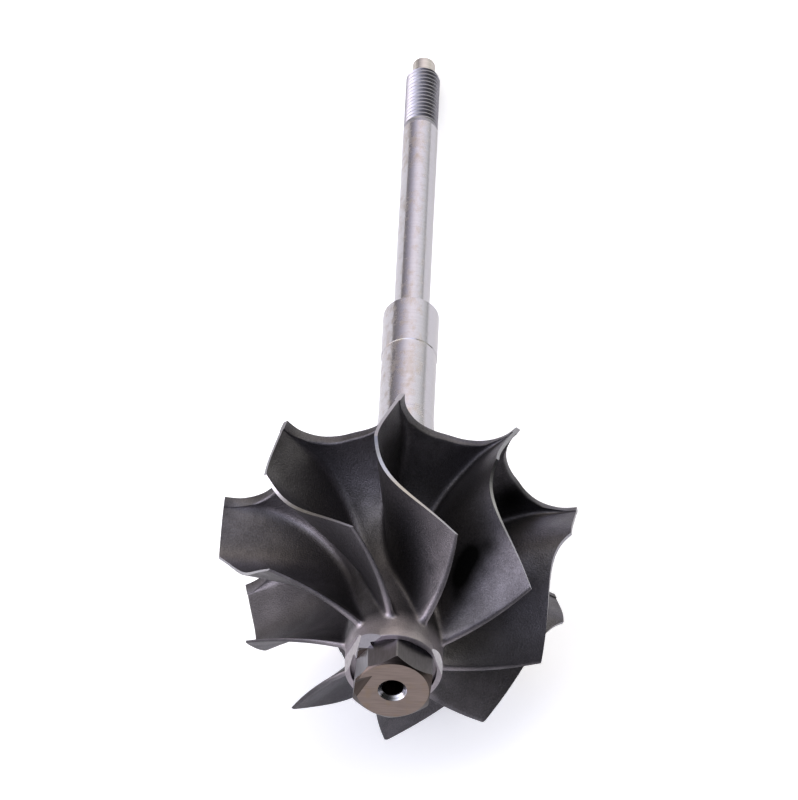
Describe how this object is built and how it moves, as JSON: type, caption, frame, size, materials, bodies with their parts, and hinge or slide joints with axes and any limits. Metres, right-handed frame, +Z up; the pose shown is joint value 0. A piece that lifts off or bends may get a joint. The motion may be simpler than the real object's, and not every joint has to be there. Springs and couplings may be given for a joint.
{
  "type": "turbocharger turbine wheel with shaft",
  "caption": "Turbocharger turbine rotor: cast radial-inflow wheel with curved blades, scalloped back disc and hexagon nose, joined to a ground, stepped shaft with a threaded end.",
  "frame": {"origin": "centre of the bounding box on the floor, with the rotor lying on two blade corners and on the shaft's end", "axes": "+Z up; the nose points towards -Y and the shaft runs towards +Y, tilted about 12 degrees down to the floor"},
  "size_m": [0.048, 0.1286, 0.0475],
  "materials": {
    "cast_alloy": "blasted nickel-alloy casting, dark warm grey, satin, with bright ground edges",
    "nose_alloy": "turned and partly ground cast alloy, tan grey",
    "seal_steel": "turned steel",
    "ground_steel": "ground bearing steel, bright, with light rust specks",
    "thread_steel": "rolled thread, grey with a slightly brown end"
  },
  "bodies": {
    "root": {"wheel_hub": "cast_alloy", "nose_hex": "nose_alloy", "blade_1": "cast_alloy", "blade_2": "cast_alloy", "blade_3": "cast_alloy", "blade_4": "cast_alloy", "blade_5": "cast_alloy", "blade_6": "cast_alloy", "blade_7": "cast_alloy", "blade_8": "cast_alloy", "blade_9": "cast_alloy", "seal_boss": "seal_steel", "turbine_journal": "ground_steel", "journal_relief": "ground_steel", "compressor_journal": "ground_steel", "compressor_seat": "ground_steel", "threaded_end": "thread_steel", "end_pin": "ground_steel"}
  },
  "joints": []
}
